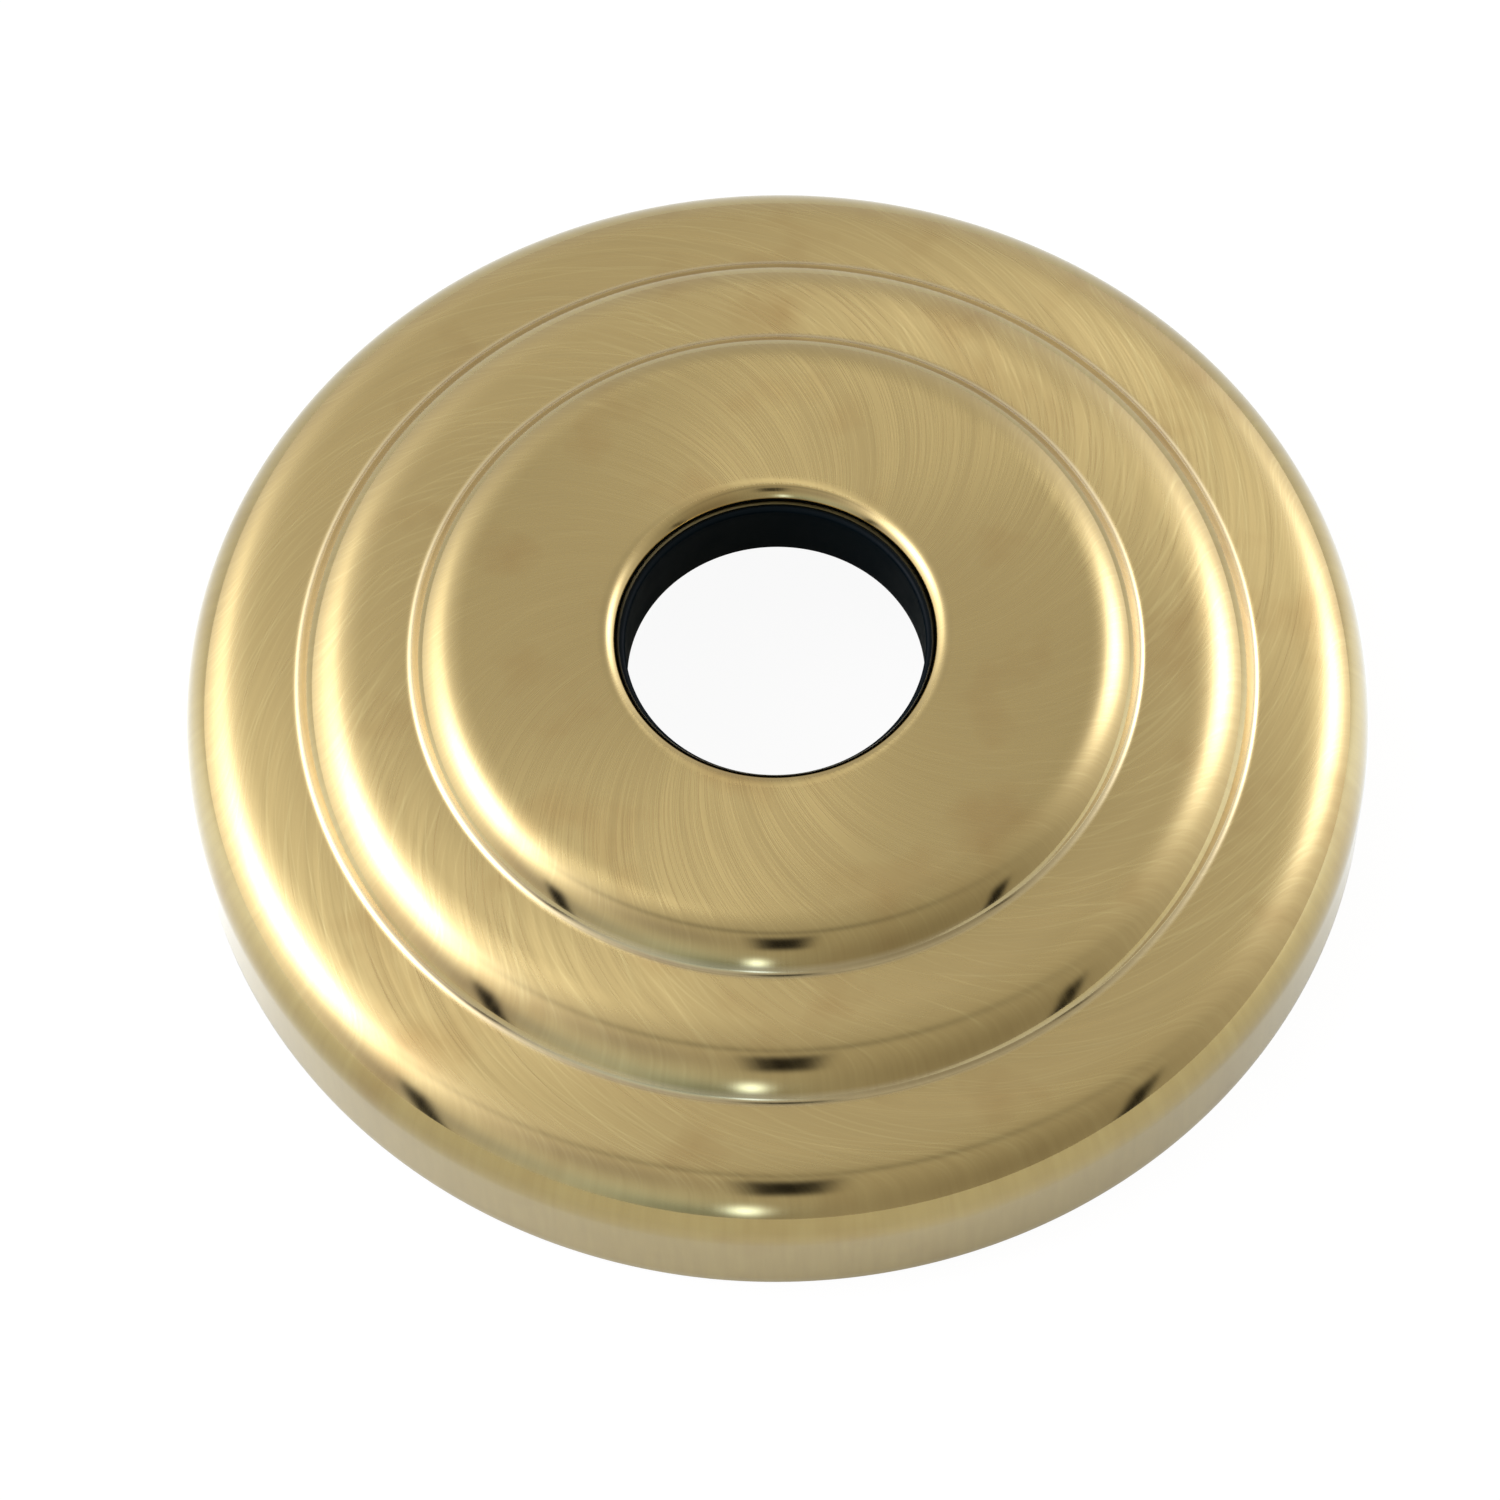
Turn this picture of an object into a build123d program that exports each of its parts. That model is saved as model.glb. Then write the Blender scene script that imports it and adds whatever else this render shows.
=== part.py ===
"""Pipe escutcheon: a brass cover plate in three tiers that hides the hole where a pipe leaves a wall.

Origin: centre of the rim that stands against the wall. Axes: +Z along the pipe, away from the wall.
Units: mm.
"""
import math
import os

from build123d import *

os.makedirs("parts", exist_ok=True)

# The pipe that passes through, and the clear space left round it.
pipe_diameter = 21.34
pipe_clearance = 0.43

# Brass shell: one sheet formed into three tiers and pierced in the middle.
outer_diameter = 88.9
sheet = 1.6
base_height = 11.95
middle_step = 3.15
top_step = 2.6
base_shoulder_radius = 5.36
middle_foot_radius = 36.1
top_foot_radius = 27.5
foot_fillet = 0.8
shoulder_slope = 59.0
hole_radius = 11.5
lip_radius = 1.5

# Rubber ring: bonded to the underside of the top tier, round the hole.
ring_wall = 3.5
ring_height = 5.7
ring_edge = 0.35

outer_radius = outer_diameter / 2
middle_height = base_height + middle_step
top_height = middle_height + top_step
slope = math.radians(shoulder_slope)


def step_reach(step):
    """Radial distance from the foot of a step to the edge of the flat above it."""
    return step * math.sin(slope) / (1 - math.cos(slope))


def shoulder_radius(step):
    """Radius of the rounded shoulder that runs into the foot fillet at the shoulder slope."""
    return step / (1 - math.cos(slope)) - foot_fillet


# The section runs up the outside of the sheet and comes back down the inside, one sheet thickness away.
# Arc centres are shared by both faces, so the sheet has the same thickness all the way.
base_centre = (outer_radius - base_shoulder_radius, base_height - base_shoulder_radius)
middle_fillet_centre = (middle_foot_radius, base_height + foot_fillet)
middle_shoulder_radius = shoulder_radius(middle_step)
middle_centre = (middle_foot_radius - step_reach(middle_step), middle_height - middle_shoulder_radius)
top_fillet_centre = (top_foot_radius, middle_height + foot_fillet)
top_shoulder_radius = shoulder_radius(top_step)
top_centre = (top_foot_radius - step_reach(top_step), top_height - top_shoulder_radius)
lip_centre = (hole_radius + lip_radius, top_height - lip_radius)

with BuildPart() as shell:
    with BuildSketch(Plane.XZ):
        with BuildLine():
            wall = Line((outer_radius, 0), (outer_radius, base_centre[1]))
            base_shoulder = CenterArc(base_centre, base_shoulder_radius, 0, 90)
            base_flat = Line(base_shoulder @ 1, (middle_foot_radius, base_height))
            middle_fillet = CenterArc(middle_fillet_centre, foot_fillet, -90, -shoulder_slope)
            middle_shoulder = CenterArc(middle_centre, middle_shoulder_radius, 90 - shoulder_slope, shoulder_slope)
            middle_flat = Line(middle_shoulder @ 1, (top_foot_radius, middle_height))
            top_fillet = CenterArc(top_fillet_centre, foot_fillet, -90, -shoulder_slope)
            top_shoulder = CenterArc(top_centre, top_shoulder_radius, 90 - shoulder_slope, shoulder_slope)
            top_flat = Line(top_shoulder @ 1, (lip_centre[0], top_height))
            lip = CenterArc(lip_centre, lip_radius, 90, 90)
            hole_edge = Line(lip @ 1, (hole_radius, top_height - sheet))
            top_under = Line(hole_edge @ 1, (top_centre[0], top_height - sheet))
            top_shoulder_under = CenterArc(top_centre, top_shoulder_radius - sheet, 90, -shoulder_slope)
            top_fillet_under = CenterArc(top_fillet_centre, foot_fillet + sheet, -90 - shoulder_slope, shoulder_slope)
            middle_under = Line(top_fillet_under @ 1, (middle_centre[0], middle_height - sheet))
            middle_shoulder_under = CenterArc(middle_centre, middle_shoulder_radius - sheet, 90, -shoulder_slope)
            middle_fillet_under = CenterArc(
                middle_fillet_centre, foot_fillet + sheet, -90 - shoulder_slope, shoulder_slope
            )
            base_under = Line(middle_fillet_under @ 1, (base_centre[0], base_height - sheet))
            base_shoulder_under = CenterArc(base_centre, base_shoulder_radius - sheet, 90, -90)
            wall_under = Line(base_shoulder_under @ 1, (outer_radius - sheet, 0))
            rim = Line(wall_under @ 1, wall @ 0)
        make_face()
    revolve(axis=Axis.Z)

export_step(shell.part, "parts/brass_shell.step")

# The ring's flat upper end lies on the underside of the top tier. Its bore takes the pipe with the clearance.
ring_bore_radius = pipe_diameter / 2 + pipe_clearance
ring_top = top_height - sheet
ring_bottom = ring_top - ring_height

with BuildPart() as ring:
    with BuildSketch(Plane.XZ):
        with Locations((ring_bore_radius + ring_wall / 2, (ring_top + ring_bottom) / 2)):
            section = Rectangle(ring_wall, ring_height)
        fillet(section.vertices(), ring_edge)
    revolve(axis=Axis.Z)

export_step(ring.part, "parts/rubber_ring.step")
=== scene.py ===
import bpy
import math
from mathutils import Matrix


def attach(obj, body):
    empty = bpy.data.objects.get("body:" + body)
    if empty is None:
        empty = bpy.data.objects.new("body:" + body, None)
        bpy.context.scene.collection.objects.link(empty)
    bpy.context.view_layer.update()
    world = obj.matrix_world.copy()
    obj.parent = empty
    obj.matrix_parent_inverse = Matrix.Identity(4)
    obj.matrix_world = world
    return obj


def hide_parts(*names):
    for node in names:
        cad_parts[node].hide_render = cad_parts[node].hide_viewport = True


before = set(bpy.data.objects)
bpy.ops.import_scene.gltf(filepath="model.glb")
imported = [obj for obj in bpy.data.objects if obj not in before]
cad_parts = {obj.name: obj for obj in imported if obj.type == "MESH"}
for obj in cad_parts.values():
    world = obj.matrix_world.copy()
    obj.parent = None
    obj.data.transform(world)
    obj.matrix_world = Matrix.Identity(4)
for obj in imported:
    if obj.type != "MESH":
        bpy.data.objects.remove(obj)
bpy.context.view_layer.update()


# BRASS SHELL
# The cover itself: one disc of 1.6 mm brass sheet, formed over a die into three tiers, pierced for the pipe.
# Its face was brushed while the part turned, so the fine lines sweep outwards on a slant, then lacquered.
mm = 0.001
outer_radius = 44.45
sheet = 1.6
base_height = 11.95
middle_height = 15.1
top_height = 17.7
base_shoulder = 5.36
middle_foot = 36.1
top_foot = 27.5
foot_fillet = 0.8
shoulder_slope = 59.0
hole_radius = 11.5
lip_radius = 1.5
edge_break = 0.18


def arc(centre, radius, start, sweep, steps):
    """Points along an arc of the section, with angles in degrees from the outward direction."""
    angles = [math.radians(start + sweep * i / steps) for i in range(steps + 1)]
    return [(centre[0] + radius * math.cos(a), centre[1] + radius * math.sin(a)) for a in angles]


def run(start, end, steps):
    """Points along a straight stretch of the section."""
    return [(start[0] + (end[0] - start[0]) * i / steps, start[1] + (end[1] - start[1]) * i / steps)
            for i in range(steps + 1)]


def shoulder(foot, low, high):
    """Centre and radius of the rounded shoulder above a foot fillet."""
    slope = math.radians(shoulder_slope)
    reach = (high - low) / (1 - math.cos(slope))
    radius = reach - foot_fillet
    return (foot - reach * math.sin(slope), high - radius), radius


middle_centre, middle_radius = shoulder(middle_foot, base_height, middle_height)
top_centre, top_radius = shoulder(top_foot, middle_height, top_height)
middle_fillet = (middle_foot, base_height + foot_fillet)
top_fillet = (top_foot, middle_height + foot_fillet)
base_centre = (outer_radius - base_shoulder, base_height - base_shoulder)
lip_centre = (hole_radius + lip_radius, top_height - lip_radius)

# The outer face, from the rim at the wall up over the tiers and down into the hole.
face_side = []
face_side += arc((outer_radius - edge_break, edge_break), edge_break, -90, 90, 4)
face_side += run((outer_radius, edge_break), (outer_radius, base_centre[1]), 9)[1:]
face_side += arc(base_centre, base_shoulder, 0, 90, 36)[1:]
face_side += run((base_centre[0], base_height), (middle_foot, base_height), 5)[1:]
face_side += arc(middle_fillet, foot_fillet, -90, -shoulder_slope, 10)[1:]
face_side += arc(middle_centre, middle_radius, 90 - shoulder_slope, shoulder_slope, 26)[1:]
face_side += run((middle_centre[0], middle_height), (top_foot, middle_height), 5)[1:]
face_side += arc(top_fillet, foot_fillet, -90, -shoulder_slope, 10)[1:]
face_side += arc(top_centre, top_radius, 90 - shoulder_slope, shoulder_slope, 26)[1:]
face_side += run((top_centre[0], top_height), (lip_centre[0], top_height), 13)[1:]
face_side += arc(lip_centre, lip_radius, 90, 90, 18)[1:]
face_side += run((hole_radius, lip_centre[1]), (hole_radius, top_height - sheet), 1)[1:]

# The hollow back, one sheet thickness away, from the hole out to the rim.
back_side = []
back_side += run((hole_radius, top_height - sheet), (top_centre[0], top_height - sheet), 8)[1:]
back_side += arc(top_centre, top_radius - sheet, 90, -shoulder_slope, 10)[1:]
back_side += arc(top_fillet, foot_fillet + sheet, -90 - shoulder_slope, shoulder_slope, 8)[1:]
back_side += run((top_foot, middle_height - sheet), (middle_centre[0], middle_height - sheet), 3)[1:]
back_side += arc(middle_centre, middle_radius - sheet, 90, -shoulder_slope, 10)[1:]
back_side += arc(middle_fillet, foot_fillet + sheet, -90 - shoulder_slope, shoulder_slope, 8)[1:]
back_side += run((middle_foot, base_height - sheet), (base_centre[0], base_height - sheet), 3)[1:]
back_side += arc(base_centre, base_shoulder - sheet, 90, -90, 12)[1:]
back_side += run((outer_radius - sheet, base_centre[1]), (outer_radius - sheet, edge_break), 6)[1:]
back_side += arc((outer_radius - sheet + edge_break, edge_break), edge_break, 180, 90, 4)[1:]


def add_node(tree, kind, links=None, **settings):
    """Add a node with its settings, and link or set its inputs."""
    node = tree.nodes.new(kind)
    for name, value in settings.items():
        setattr(node, name, value)
    for socket, value in (links or {}).items():
        if isinstance(value, bpy.types.NodeSocket):
            tree.links.new(value, node.inputs[socket])
        else:
            node.inputs[socket].default_value = value
    return node


def maths(tree, operation, *values):
    """One step of arithmetic on numbers."""
    return add_node(tree, "ShaderNodeMath", dict(enumerate(values)), operation=operation).outputs[0]


def vectors(tree, operation, *values):
    """One step of arithmetic on vectors. A dot product and a length give a number."""
    node = add_node(tree, "ShaderNodeVectorMath", dict(enumerate(values)), operation=operation)
    return node.outputs["Value" if operation in ("DOT_PRODUCT", "LENGTH") else "Vector"]


def scaled(tree, vector, amount):
    """A vector or colour times a number."""
    links = {"Vector": vector, "Scale": amount}
    return add_node(tree, "ShaderNodeVectorMath", links, operation="SCALE").outputs["Vector"]


def ramp(tree, value, start, end, at_start, at_end, easing="LINEAR"):
    """A number that goes from at_start to at_end while value goes from start to end."""
    links = {0: value, 1: start, 2: end, 3: at_start, 4: at_end}
    return add_node(tree, "ShaderNodeMapRange", links, interpolation_type=easing).outputs[0]


def blend(tree, amount, first, second):
    """A colour between two others."""
    return add_node(tree, "ShaderNodeMix", {0: amount, 6: first, 7: second}, data_type="RGBA").outputs[2]


def noise(tree, place, size, detail):
    """Soft random patches of about the given size."""
    links = {"Vector": place, "Scale": 1 / size, "Detail": detail}
    return add_node(tree, "ShaderNodeTexNoise", links).outputs[0]


def turning_tree():
    """Turn a section round the pipe's axis, and carry the section's track over to the turned points."""
    tree = bpy.data.node_groups.new("turned_round_the_pipe_axis", "GeometryNodeTree")
    for name, way, kind in (("Section", "INPUT", "Geometry"), ("Steps Round", "INPUT", "Int"),
                            ("Face Length", "INPUT", "Float"), ("Face Material", "INPUT", "Material"),
                            ("Back Material", "INPUT", "Material"), ("Mesh", "OUTPUT", "Geometry")):
        tree.interface.new_socket(name, in_out=way, socket_type="NodeSocket" + kind)
    given = add_node(tree, "NodeGroupInput").outputs
    section = given["Section"]

    def stored_track():
        links = {"Name": "track"}
        node = add_node(tree, "GeometryNodeInputNamedAttribute", links, data_type="FLOAT_VECTOR")
        return node.outputs["Attribute"]

    # A flat grid has a row for each point of the section, with the first again at the end,
    # and a column for each step round.
    count = add_node(tree, "GeometryNodeAttributeDomainSize", {"Geometry": section}, component="MESH")
    count = count.outputs["Point Count"]
    columns = maths(tree, "ADD", given["Steps Round"], 1.0)
    rows = maths(tree, "ADD", count, 1.0)
    grid = add_node(tree, "GeometryNodeMeshGrid", {"Vertices X": columns, "Vertices Y": rows}).outputs["Mesh"]
    index = add_node(tree, "GeometryNodeInputIndex").outputs["Index"]
    column = maths(tree, "FLOOR", maths(tree, "DIVIDE", maths(tree, "ADD", index, 0.5), rows))
    row = maths(tree, "MODULO", maths(tree, "MODULO", index, rows), count)

    def from_section(value):
        """What the section holds at the point of each row."""
        links = {"Geometry": section, "Value": value, "Index": row}
        node = add_node(tree, "GeometryNodeSampleIndex", links, data_type="FLOAT_VECTOR", domain="POINT")
        return node.outputs["Value"]

    # The grid is bent round the axis, closed and given its materials.
    place = add_node(tree, "GeometryNodeInputPosition").outputs["Position"]
    point = add_node(tree, "ShaderNodeSeparateXYZ", {0: from_section(place)}).outputs
    turn = maths(tree, "MULTIPLY", maths(tree, "DIVIDE", column, given["Steps Round"]), 2 * math.pi)
    x = maths(tree, "MULTIPLY", point[0], maths(tree, "COSINE", turn))
    y = maths(tree, "MULTIPLY", point[0], maths(tree, "SINE", turn))
    turned = add_node(tree, "ShaderNodeCombineXYZ", {0: x, 1: y, 2: point[2]}).outputs[0]
    links = {"Geometry": grid, "Name": "track", "Value": from_section(stored_track())}
    mesh = add_node(tree, "GeometryNodeStoreNamedAttribute", links, data_type="FLOAT_VECTOR", domain="POINT")
    reached = add_node(tree, "ShaderNodeSeparateXYZ", {0: stored_track()}).outputs[0]
    behind = maths(tree, "GREATER_THAN", reached, given["Face Length"])
    for step, links in (("SetPosition", {"Position": turned}),
                        ("MergeByDistance", {"Distance": 0.002 * mm}),
                        ("SetShadeSmooth", {"Shade Smooth": True}),
                        ("RealizeInstances", {}),
                        ("SetMaterial", {"Material": given["Face Material"]}),
                        ("SetMaterial", {"Selection": behind, "Material": given["Back Material"]})):
        mesh = add_node(tree, "GeometryNode" + step, {"Geometry": mesh.outputs["Geometry"], **links})
    add_node(tree, "NodeGroupOutput", {"Mesh": mesh.outputs["Geometry"]})
    return tree


turning = turning_tree()


def brush_slant(radius, level):
    """Lean of the brush strokes from straight outwards, in degrees: more further out, less on steep faces."""
    least, most, per_mm, start_radius = 12.0, 78.0, 2.0, 9.0
    steep_end, fade = 0.7, 0.25
    leaning = min(max(least + per_mm * (radius - start_radius), least), most)
    return leaning * min(max((level - steep_end) / fade, 0.0), 1.0)


def turned_piece(name, section, face_points, steps_round, face_material, back_material):
    """A section turned round the axis into a piece. Its first face_points points are the face."""
    section_mesh = bpy.data.meshes.new(name)
    section_mesh.from_pydata([(r * mm, 0.0, z * mm) for r, z in section],
                             [(i, (i + 1) % len(section)) for i in range(len(section))], [])
    # The track of a point: length along the section, how far strokes have swung round, how level it lies.
    lengths, swirls, levels = [0.0], [0.0], []
    for before, after in zip(section[-1:] + section[:-1], section[1:] + section[:1]):
        levels.append(abs(after[0] - before[0]) / math.dist(before, after))
    for a, b, level in zip(section, section[1:], levels):
        lengths.append(lengths[-1] + math.dist(a, b) * mm)
        slant = math.radians(brush_slant(a[0], level))
        swirls.append(swirls[-1] + math.dist(a, b) / a[0] * math.tan(slant))
    track = [value for point in zip(lengths, swirls, levels) for value in point]
    section_mesh.attributes.new("track", "FLOAT_VECTOR", "POINT").data.foreach_set("vector", track)
    piece = bpy.data.objects.new(name, section_mesh)
    bpy.context.scene.collection.objects.link(piece)
    turned = piece.modifiers.new("turned", "NODES")
    turned.node_group = turning
    socket = {s.name: s.identifier for s in turning.interface.items_tree if s.in_out == "INPUT"}
    turned[socket["Steps Round"]] = steps_round
    turned[socket["Face Length"]] = lengths[face_points - 1]
    turned[socket["Face Material"]] = face_material
    turned[socket["Back Material"]] = back_material
    finished = bpy.data.meshes.new_from_object(piece.evaluated_get(bpy.context.evaluated_depsgraph_get()))
    piece.modifiers.remove(turned)
    piece.data = finished
    return piece


def linear(hex_colour):
    """An sRGB hex colour as linear red, green, blue and alpha."""
    parts = [int(hex_colour[i:i + 2], 16) / 255 for i in (1, 3, 5)]
    return [c / 12.92 if c <= 0.04045 else ((c + 0.055) / 1.055) ** 2.4 for c in parts] + [1.0]


def new_material(name):
    """A material with its node tree and its one shader."""
    material = bpy.data.materials.new(name)
    material.use_nodes = True
    return material, material.node_tree, material.node_tree.nodes["Principled BSDF"]


# Satin brass under lacquer: a warm pale gold. The flats are brushed and spread the light into soft streaks,
# while the steep shoulders mirror the room. Real strokes are finer: they are drawn 0.2 to 0.4 mm wide,
# because thinner ones vanish at the picture's size.
satin_brass, tree, shader = new_material("satin_lacquered_brass")
track = add_node(tree, "ShaderNodeAttribute", attribute_name="track").outputs["Vector"]
along, swirl, level = add_node(tree, "ShaderNodeSeparateXYZ", {0: track}).outputs
where = add_node(tree, "ShaderNodeTexCoord").outputs["Object"]
level_place = vectors(tree, "MULTIPLY", where, (1.0, 1.0, 0.0))
apart = vectors(tree, "LENGTH", level_place)
outwards = vectors(tree, "NORMALIZE", level_place)

# Each kind of stroke has a width and a length in mm, a share of the brush lines' lean, and a detail.
mid_radius = 30.0
stroke_kinds = {
    "inner": (0.20, 15.0, 1.0, 2.0),
    "outer": (0.42, 7.0, 1.0, 2.0),
    "left": (0.30, 6.0, 0.75, 0.0),
    "right": (0.30, 6.0, 1.25, 0.0),
    "bands": (2.6, 24.0, 1.0, 2.0)}
strokes = {}
for name, (width, length, lean, detail) in stroke_kinds.items():
    turn = maths(tree, "MULTIPLY", swirl, lean)
    links = {"Vector": outwards, "Angle": turn}
    leaning = add_node(tree, "ShaderNodeVectorRotate", links, rotation_type="Z_AXIS").outputs[0]
    around = scaled(tree, leaning, mid_radius / width)
    outs = maths(tree, "MULTIPLY", along, 1 / (length * mm))
    outs = add_node(tree, "ShaderNodeCombineXYZ", {2: outs}).outputs[0]
    strokes[name] = noise(tree, vectors(tree, "ADD", around, outs), 1.0, detail)

# The two lower tiers have bolder strokes than the top tier, and the same brass is painted a little paler
# there: painted light that brightens their flats.
inner_end, outer_start = 24 * mm, 30 * mm
outer_part = ramp(tree, apart, inner_end, outer_start, 0.0, 1.0)
fine = add_node(tree, "ShaderNodeMix", {0: outer_part, 2: strokes["inner"], 3: strokes["outer"]}).outputs[0]
top_tone = blend(tree, fine, linear("#AB9660"), linear("#B9A56C"))
lower_tone_painted_paler = blend(tree, fine, linear("#B49E67"), linear("#C4AF75"))
tone = blend(tree, outer_part, top_tone, lower_tone_painted_paler)

# On the lower tiers single bright strokes cross the others, most of them on the flats: painted glints, lamp
# light caught by crossing scratches and painted into the colour.
steep_end, flat_start = 0.7, 0.95
left, right = [ramp(tree, strokes[side], 0.60, 0.80, 0.0, 1.0) for side in ("left", "right")]
flat_part = ramp(tree, level, steep_end, flat_start, 0.3, 1.0)
painted_glints = ramp(tree, apart, 22 * mm, outer_start, 0.1, 0.5)
painted_glints = maths(tree, "MULTIPLY", painted_glints, flat_part)
painted_glints = maths(tree, "MULTIPLY", painted_glints, maths(tree, "ADD", left, right))
tone = blend(tree, painted_glints, tone, linear("#CBB97F"))

# Faint brown tarnish lies in clouds.
tarnish_size = 9.0 * mm
tarnish = ramp(tree, noise(tree, where, tarnish_size, 3.0), 0.54, 0.74, 0.0, 0.45)
tone = blend(tree, tarnish, tone, linear("#A07E44"))

# The brush hardly gets into the fillets at the feet, which are left rougher, and a thin pale line is drawn
# along each of them.
foot_line, line_half, line_edge, line_share = 0.55, 0.16 * mm, 0.4 * mm, 0.3
in_feet = 0.0
for foot in (middle_foot, top_foot):
    aside = maths(tree, "ABSOLUTE", maths(tree, "SUBTRACT", apart, (foot - foot_line) * mm))
    in_feet = maths(tree, "ADD", ramp(tree, aside, line_half, line_edge, line_share, 0.0), in_feet)
tone = blend(tree, in_feet, tone, linear("#E4DBBE"))
tree.links.new(tone, shader.inputs["Base Color"])

# Steep faces are smooth. The flats are brushed rough, more so towards the rim and at the lip, and not evenly.
polished, brushed = 0.05, 0.27
rough = ramp(tree, level, 0.90, 1.0, polished, brushed, "SMOOTHSTEP")
towards_rim = ramp(tree, apart, 18 * mm, 38 * mm, 0.98, 1.25)
at_lip = ramp(tree, apart, hole_radius * mm, 13.2 * mm, 2.6, 1.0)
patchy = ramp(tree, strokes["bands"], 0.3, 0.7, 0.9, 1.1)
combed = ramp(tree, fine, 0.3, 0.7, 0.82, 1.18)
for share in (towards_rim, at_lip, patchy, combed):
    rough = maths(tree, "MULTIPLY", rough, share)
rough = maths(tree, "MULTIPLY_ADD", in_feet, 0.2, rough)
tree.links.new(rough, shader.inputs["Roughness"])

# The strokes are shallow scratches, and fade out on the steep faces.
stroke_depth = 0.003 * mm
relief = ramp(tree, level, 0.93, 1.0, 0.1, 1.0)
shallower = ramp(tree, apart, inner_end, outer_start, 1.0, 0.45)
relief = maths(tree, "MULTIPLY", relief, shallower)
bump = add_node(tree, "ShaderNodeBump", {"Strength": relief, "Distance": stroke_depth, "Height": fine})
tree.links.new(bump.outputs[0], shader.inputs["Normal"])

# Reflections are drawn out across the brush lines. The lines lean more towards the rim and run straight up
# steep faces.
tangent = add_node(tree, "ShaderNodeTangent", direction_type="RADIAL", axis="Z").outputs[0]
tree.links.new(tangent, shader.inputs["Tangent"])
lean = ramp(tree, apart, 9 * mm, 42 * mm, 10 / 360, 83 / 360)
lean = maths(tree, "MULTIPLY", lean, ramp(tree, level, steep_end, flat_start, 0.0, 1.0))
tree.links.new(lean, shader.inputs["Anisotropic Rotation"])
shader.inputs["Metallic"].default_value = 1.0
shader.inputs["Anisotropic"].default_value = 0.9
shader.inputs["Coat Weight"].default_value = 1.0
shader.inputs["Coat Roughness"].default_value = 0.1

# The back is brass as it left the die: duller and browner, with rings from forming and no lacquer.
formed_brass, tree, shader = new_material("formed_brass")
ring_size, ring_depth, cloud_size = 0.5 * mm, 0.01 * mm, 7.0 * mm
track = add_node(tree, "ShaderNodeAttribute", attribute_name="track").outputs["Vector"]
along = add_node(tree, "ShaderNodeSeparateXYZ", {0: track}).outputs[0]
links = {"W": maths(tree, "MULTIPLY", along, 1 / ring_size), "Scale": 1.0, "Detail": 2.0}
rings = add_node(tree, "ShaderNodeTexNoise", links, noise_dimensions="1D").outputs[0]
where = add_node(tree, "ShaderNodeTexCoord").outputs["Object"]
clouds = noise(tree, where, cloud_size, 4.0)
tree.links.new(blend(tree, clouds, linear("#8A7548"), linear("#AD9965")), shader.inputs["Base Color"])
tree.links.new(ramp(tree, clouds, 0.3, 0.7, 0.34, 0.5), shader.inputs["Roughness"])
bump = add_node(tree, "ShaderNodeBump", {"Strength": 1.0, "Distance": ring_depth, "Height": rings})
tree.links.new(bump.outputs[0], shader.inputs["Normal"])
shader.inputs["Metallic"].default_value = 1.0

brass_section = face_side + back_side[:-1]
brass_shell = turned_piece("brass_cover", brass_section, len(face_side), 360, satin_brass, formed_brass)
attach(brass_shell, "root")
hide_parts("brass_shell")


# RUBBER RING
# A plain ring of black rubber that lines the hole and keeps the brass off the pipe.
# It is moulded, with softened edges, and bonded flat against the underside of the top tier.
ring_bore = 11.1
ring_wall = 3.5
ring_height = 5.7
ring_edge = 0.35
ring_top = top_height - sheet
ring_bottom = ring_top - ring_height
ring_outer = ring_bore + ring_wall

ring_section = []
ring_section += arc((ring_outer - ring_edge, ring_bottom + ring_edge), ring_edge, -90, 90, 6)
ring_section += arc((ring_outer - ring_edge, ring_top - ring_edge), ring_edge, 0, 90, 6)
ring_section += arc((ring_bore + ring_edge, ring_top - ring_edge), ring_edge, 90, 90, 6)
ring_section += run((ring_bore, ring_top - ring_edge), (ring_bore, ring_bottom + ring_edge), 8)[1:-1]
ring_section += arc((ring_bore + ring_edge, ring_bottom + ring_edge), ring_edge, 180, 90, 6)

# Black moulded rubber: a cool, blue-black tone with a soft sheen and a fine grain from the mould.
black_rubber, tree, shader = new_material("black_moulded_rubber")
grain_size, grain_depth, bloom_size = 0.25 * mm, 0.006 * mm, 3.5 * mm
where = add_node(tree, "ShaderNodeTexCoord").outputs["Object"]
grain = noise(tree, where, grain_size, 3.0)
bloom = noise(tree, where, bloom_size, 2.0)
tree.links.new(blend(tree, bloom, linear("#010A10"), linear("#040D12")), shader.inputs["Base Color"])
tree.links.new(ramp(tree, bloom, 0.3, 0.7, 0.38, 0.5), shader.inputs["Roughness"])
bump = add_node(tree, "ShaderNodeBump", {"Strength": 0.6, "Distance": grain_depth, "Height": grain})
tree.links.new(bump.outputs[0], shader.inputs["Normal"])
shader.inputs["Specular IOR Level"].default_value = 0.07

rubber_ring = turned_piece("rubber_sleeve", ring_section, len(ring_section), 180, black_rubber, black_rubber)
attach(rubber_ring, "root")
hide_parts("rubber_ring")


# TABLE
# The plain white table that the cover lies on. It is a stage, and keeps the cover's soft shadow.
half = 1.5
below = -0.02 * mm
corners = [(-half, -half, below), (half, -half, below), (half, half, below), (-half, half, below)]
table_mesh = bpy.data.meshes.new("table")
table_mesh.from_pydata(corners, [], [(0, 1, 2, 3)])
table = bpy.data.objects.new("table", table_mesh)
bpy.context.scene.collection.objects.link(table)


def direction(azimuth, elevation):
    """A unit direction. Azimuth is 0 at the back, 90 at the right and 180 at the front."""
    a, e = math.radians(azimuth), math.radians(elevation)
    return (math.cos(e) * math.sin(a), math.cos(e) * math.cos(a), math.sin(e))


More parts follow.
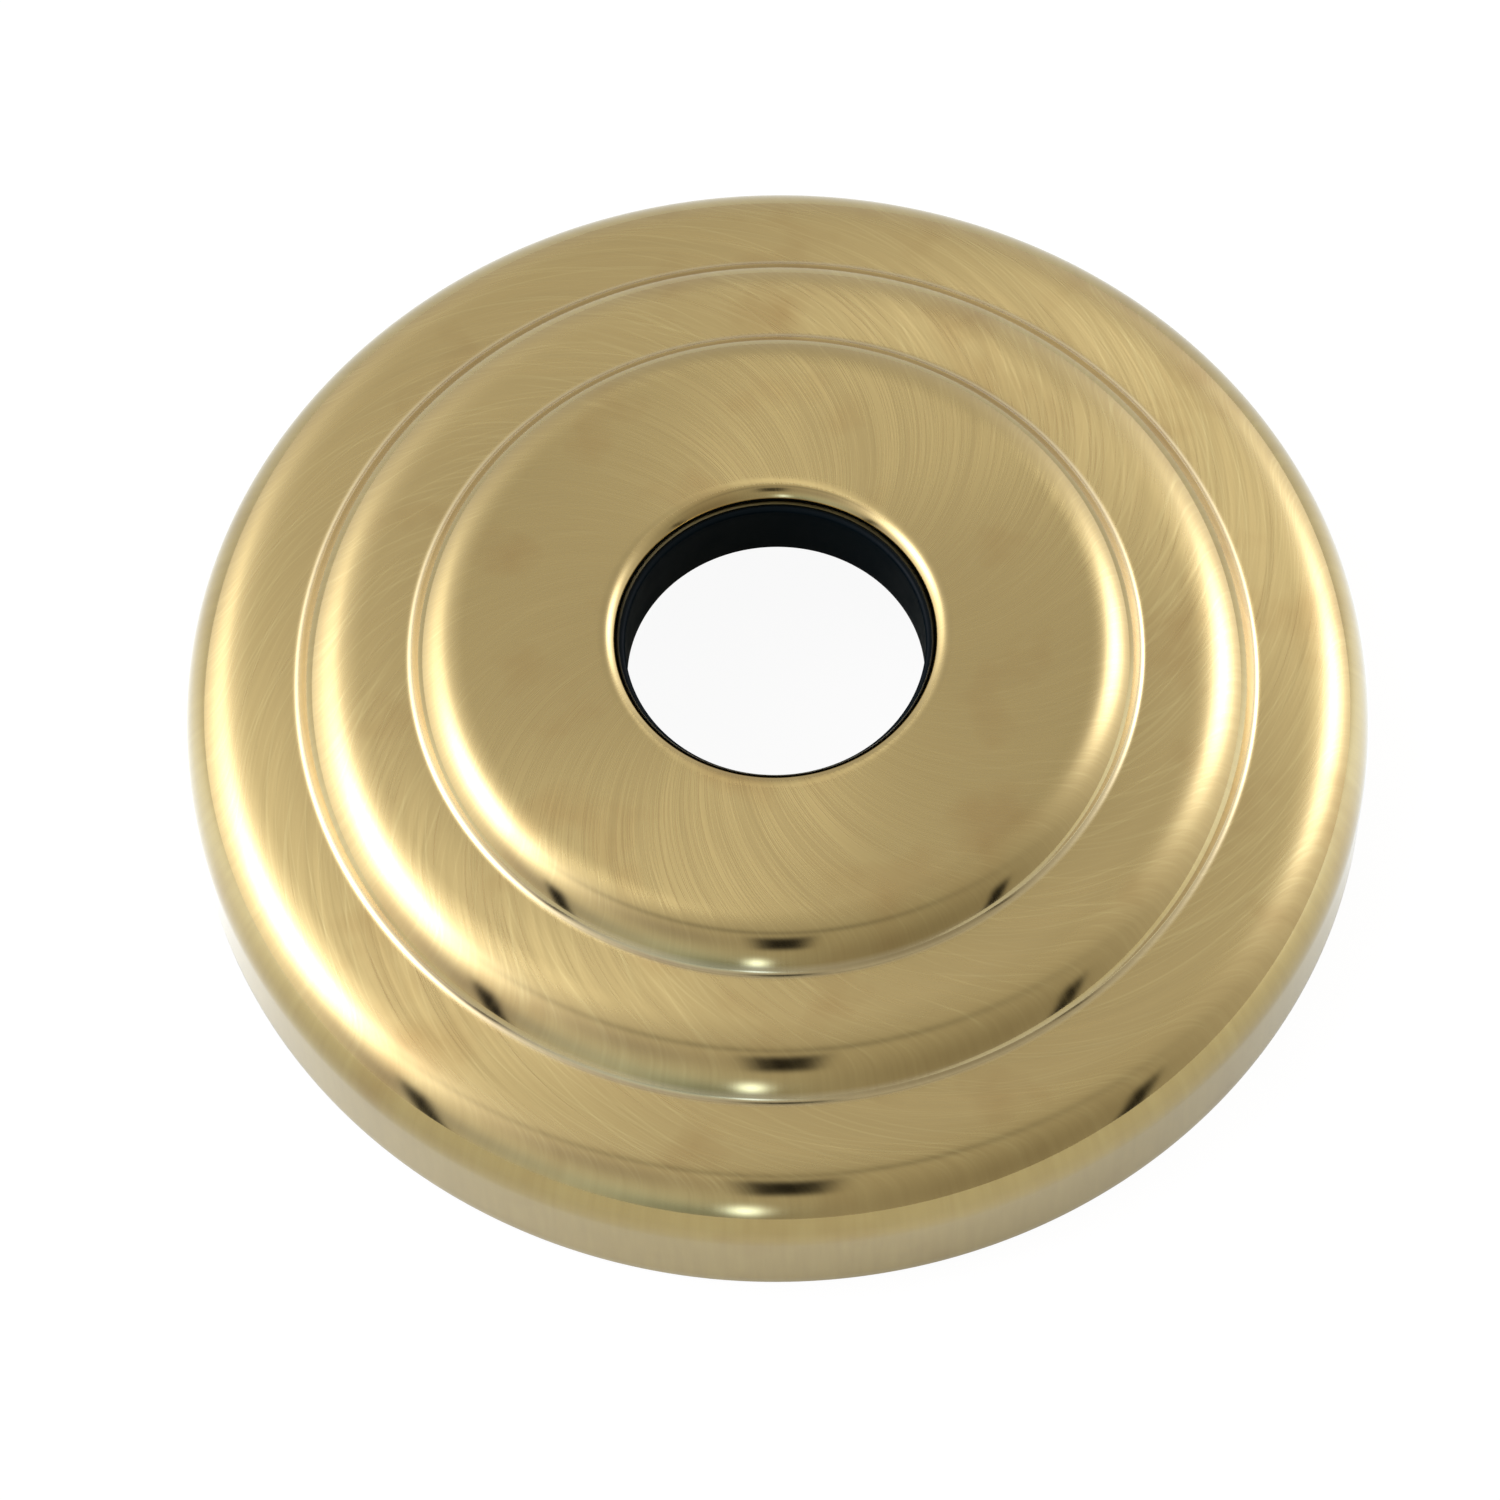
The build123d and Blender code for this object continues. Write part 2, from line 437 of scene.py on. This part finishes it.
def glow_patch(tree, toward, azimuth, elevation, tightness, strength):
    """A round patch of light that fades out smoothly from its middle."""
    facing = vectors(tree, "DOT_PRODUCT", toward, direction(azimuth, elevation))
    patch = maths(tree, "EXPONENT", maths(tree, "MULTIPLY_ADD", facing, tightness, -tightness))
    return maths(tree, "MULTIPLY", patch, strength)


# White paper: matt and plain, with faint fibres. Seen directly it is white, and only the shadow shows.
# Mirrored in the brass it glows with painted light: painted pools of light beside the two lamps and close by
# the cover, and painted shade under it.
white_paper, tree, shader = new_material("white_paper")
fibre_size, seen_white = 4.0 * mm, 0.94
white = (1.0, 1.0, 1.0, 1.0)
where = add_node(tree, "ShaderNodeTexCoord").outputs["Object"]
outwards = vectors(tree, "NORMALIZE", where)
away = vectors(tree, "LENGTH", where)
# Painted pools of light on the paper, beside each lamp and close by the cover, seen only in mirror rays.
by_left_lamp = glow_patch(tree, outwards, -92, 0, 15.0, 0.62)
by_right_lamp = glow_patch(tree, outwards, 85, 0, 15.0, 0.68)
by_lamps = maths(tree, "ADD", by_left_lamp, by_right_lamp)
close_by = ramp(tree, away, 45 * mm, 58 * mm, 0.15, 0.02)
# Painted shade: under the cover the paper gives no mirrored light.
clear = ramp(tree, away, 42.8 * mm, 44.2 * mm, 0.0, 1.0)
lit = maths(tree, "MULTIPLY", maths(tree, "ADD", by_lamps, close_by), clear)
path = add_node(tree, "ShaderNodeLightPath").outputs
seen = path["Is Camera Ray"]
mirrored = maths(tree, "MAXIMUM", path["Is Glossy Ray"], path["Is Transmission Ray"])
paper = blend(tree, noise(tree, where, fibre_size, 3.0), linear("#C8C9BE"), linear("#CCCDC2"))
tree.links.new(blend(tree, seen, paper, linear("#505050")), shader.inputs["Base Color"])
glow = maths(tree, "MULTIPLY_ADD", seen, seen_white, maths(tree, "MULTIPLY", mirrored, lit))
glow_tint = blend(tree, by_lamps, (1.0, 0.97, 0.9, 1.0), (0.8, 1.0, 1.4, 1.0))
tree.links.new(blend(tree, seen, glow_tint, white), shader.inputs["Emission Color"])
tree.links.new(glow, shader.inputs["Emission Strength"])
shader.inputs["Roughness"].default_value = 1.0
shader.inputs["Specular IOR Level"].default_value = 0.0
table.data.materials.append(white_paper)


# STUDIO
# A white cloth tent with a lamp behind its left wall and another behind its right wall, open at the front.
# The cloth is an even soft white, brighter in front of each lamp, and dim at the opening with its two posts.
world = bpy.data.worlds.new("cloth_tent")
bpy.context.scene.world = world
world.use_nodes = True
tree = world.node_tree
backdrop = tree.nodes["Background"]
toward = add_node(tree, "ShaderNodeTexCoord").outputs["Generated"]


def card(azimuth, elevation, half_width, half_height, hardness, lean):
    """A soft-edged card, sized in degrees. Hardness sharpens its edges and lean tips its top over."""
    a, tip = math.radians(azimuth), math.radians(lean)
    level_way = (math.cos(a), -math.sin(a), 0.0)
    steep_way = direction(azimuth + 180, 90 - elevation)
    sideways = [s * math.cos(tip) - u * math.sin(tip) for s, u in zip(level_way, steep_way)]
    upward = [u * math.cos(tip) + s * math.sin(tip) for s, u in zip(level_way, steep_way)]
    powers = []
    for axis, half_size in ((sideways, half_width), (upward, half_height)):
        offset = vectors(tree, "DOT_PRODUCT", toward, axis)
        power = maths(tree, "MULTIPLY", offset, 1 / math.sin(math.radians(half_size)))
        for _ in range(hardness):
            power = maths(tree, "MULTIPLY", power, power)
        powers.append(power)
    edge = maths(tree, "EXPONENT", maths(tree, "MULTIPLY", maths(tree, "ADD", *powers), -1.0))
    facing = vectors(tree, "DOT_PRODUCT", toward, direction(azimuth, elevation))
    return maths(tree, "MULTIPLY", edge, maths(tree, "GREATER_THAN", facing, 0.0))


# The even cloth, then each brighter or dimmer patch of it: azimuth, elevation, tightness, strength and tint.
light = scaled(tree, (1.05, 1.0, 0.90), 0.66)
patches = {
    "left wall": (-80, 26, 4.5, 1.5, (1.0, 1.0, 1.1)),
    "left lamp": (-88, 40, 28.0, 5.0, (1.0, 1.02, 1.2)),
    "fold in front of the left lamp": (-116, 12, 30.0, -0.45, (1.0, 1.0, 0.9)),
    "spill behind the left lamp": (-58, 27, 30.0, 0.6, (1.0, 1.0, 1.0)),
    "right wall": (58, 16, 6.0, 0.95, (1.0, 1.0, 1.1)),
    "right lamp": (61, 30, 34.0, 3.6, (1.0, 1.02, 1.2)),
    "right front": (130, 20, 3.0, -0.15, (1.0, 1.0, 1.0)),
    "daylight left of the opening": (-153, 12, 14.0, 0.22, (0.5, 1.0, 1.4)),
    "fold beside the left post": (-137, 14, 30.0, -0.2, (1.0, 1.0, 0.8)),
    "fold above the left post": (-143, 48, 25.0, -0.25, (1.0, 1.0, 0.8)),
    "left of the opening's foot": (-166, 4, 32.0, -0.32, (1.0, 0.92, 0.85)),
    "right of the opening": (150, 10, 6.0, -0.15, (1.0, 1.0, 0.95))}
for azimuth, elevation, tightness, strength, tint in patches.values():
    patch = glow_patch(tree, toward, azimuth, elevation, tightness, strength)
    light = vectors(tree, "ADD", light, scaled(tree, tint, patch))

# What stands dark before the cloth: azimuth, elevation, half width, half height, hardness, lean and
# the share of light it takes.
dark_cards = {
    "back wall": (-3.5, 0, 34.0, 58.0, 4, 0, 0.12),
    "left post": (-125, 9, 2.8, 17, 2, 13, 0.97),
    "right post": (127, 8, 2.6, 16, 2, -13, 0.97),
    "camera": (180, 50, 5.5, 12.0, 2, 0, 0.95),
    "top edge of the opening": (-172, 70, 36.0, 4.5, 1, 0, 0.36)}
for azimuth, elevation, half_width, half_height, hardness, lean, depth in dark_cards.values():
    shape = card(azimuth, elevation, half_width, half_height, hardness, lean)
    light = scaled(tree, light, maths(tree, "MULTIPLY_ADD", shape, -depth, 1.0))

# A small bright window is seen through the opening.
window = card(-174, 13, 2.4, 8, 1, 0)
light = vectors(tree, "ADD", light, scaled(tree, (2.2, 2.9, 4.0), window))
path = add_node(tree, "ShaderNodeLightPath").outputs
tree.links.new(blend(tree, path["Is Camera Ray"], light, white), backdrop.inputs["Color"])
backdrop.inputs["Strength"].default_value = 1.0


# CAMERA
# A long lens from in front, well above the cover, as in the photograph.
camera_data = bpy.data.cameras.new("camera")
camera_data.sensor_width = 36.0
camera_data.lens = 139.48
camera_data.clip_start = 0.01
camera = bpy.data.objects.new("camera", camera_data)
camera.location = (0.0, -0.20893, 0.39073)
camera.rotation_euler = [math.radians(a) for a in (28.062, 0.830, -0.974)]
bpy.context.scene.collection.objects.link(camera)
bpy.context.scene.camera = camera
bpy.context.scene.view_settings.view_transform = "Standard"
